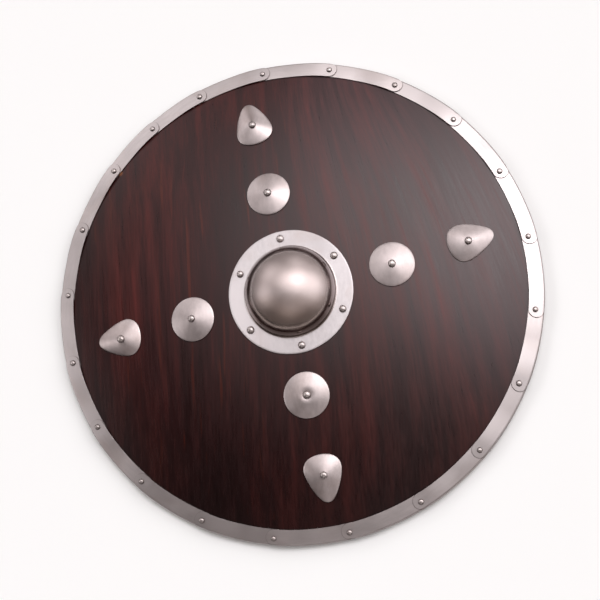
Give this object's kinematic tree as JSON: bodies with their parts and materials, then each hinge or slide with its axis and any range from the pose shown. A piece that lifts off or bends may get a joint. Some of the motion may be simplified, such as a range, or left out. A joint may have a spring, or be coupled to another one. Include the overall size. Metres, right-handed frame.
{
  "type": "wooden round shield",
  "caption": "Round domed wooden shield with a riveted steel rim in lapped strips, a hollow steel boss, round and teardrop steel plates set in a cross, and a wooden grip behind the boss.",
  "frame": {"origin": "on the floor under the middle of the boss, at the centre of the footprint", "axes": "+Z out of the shield's face through the boss, +Y along the board's grain towards the shield's top, +X to the right seen from the front"},
  "size_m": [0.6096, 0.6086, 0.0761],
  "materials": {
    "board_wood": "dark mahogany stain under a satin lacquer, grain along Y",
    "grip_wood": "dark stained wood, oiled",
    "rim_steel": "satin brushed steel sheet",
    "boss_steel": "raised steel sheet, polished dome and brushed flange",
    "plate_steel": "satin brushed pressed steel",
    "rivet_steel": "round-headed steel rivets, darker at the foot"
  },
  "bodies": {
    "root": {"board": "board_wood", "boss": "boss_steel", "grip": "grip_wood", "boss_rivet_1": "rivet_steel", "boss_rivet_2": "rivet_steel", "boss_rivet_3": "rivet_steel", "boss_rivet_4": "rivet_steel", "boss_rivet_5": "rivet_steel", "boss_rivet_6": "rivet_steel", "round_plate_1": "plate_steel", "round_plate_2": "plate_steel", "round_plate_3": "plate_steel", "round_plate_4": "plate_steel", "teardrop_plate_1": "plate_steel", "teardrop_plate_2": "plate_steel", "teardrop_plate_3": "plate_steel", "teardrop_plate_4": "plate_steel", "rim_segment_01": "rim_steel", "rim_segment_02": "rim_steel", "rim_segment_03": "rim_steel", "rim_segment_04": "rim_steel", "rim_segment_05": "rim_steel", "rim_segment_06": "rim_steel", "rim_segment_07": "rim_steel", "rim_segment_08": "rim_steel", "rim_segment_09": "rim_steel", "rim_segment_10": "rim_steel", "rim_segment_11": "rim_steel", "rim_segment_12": "rim_steel", "rim_segment_13": "rim_steel", "rim_segment_14": "rim_steel", "rim_segment_15": "rim_steel", "rim_segment_16": "rim_steel", "rim_segment_17": "rim_steel", "rim_segment_18": "rim_steel", "rim_segment_19": "rim_steel", "rim_segment_20": "rim_steel", "rim_segment_21": "rim_steel", "rim_rivet_01": "rivet_steel", "rim_rivet_02": "rivet_steel", "rim_rivet_03": "rivet_steel", "rim_rivet_04": "rivet_steel", "rim_rivet_05": "rivet_steel", "rim_rivet_06": "rivet_steel", "rim_rivet_07": "rivet_steel", "rim_rivet_08": "rivet_steel", "rim_rivet_09": "rivet_steel", "rim_rivet_10": "rivet_steel", "rim_rivet_11": "rivet_steel", "rim_rivet_12": "rivet_steel", "rim_rivet_13": "rivet_steel", "rim_rivet_14": "rivet_steel", "rim_rivet_15": "rivet_steel", "rim_rivet_16": "rivet_steel", "rim_rivet_17": "rivet_steel", "rim_rivet_18": "rivet_steel", "rim_rivet_19": "rivet_steel", "rim_rivet_20": "rivet_steel", "rim_rivet_21": "rivet_steel"}
  },
  "joints": []
}
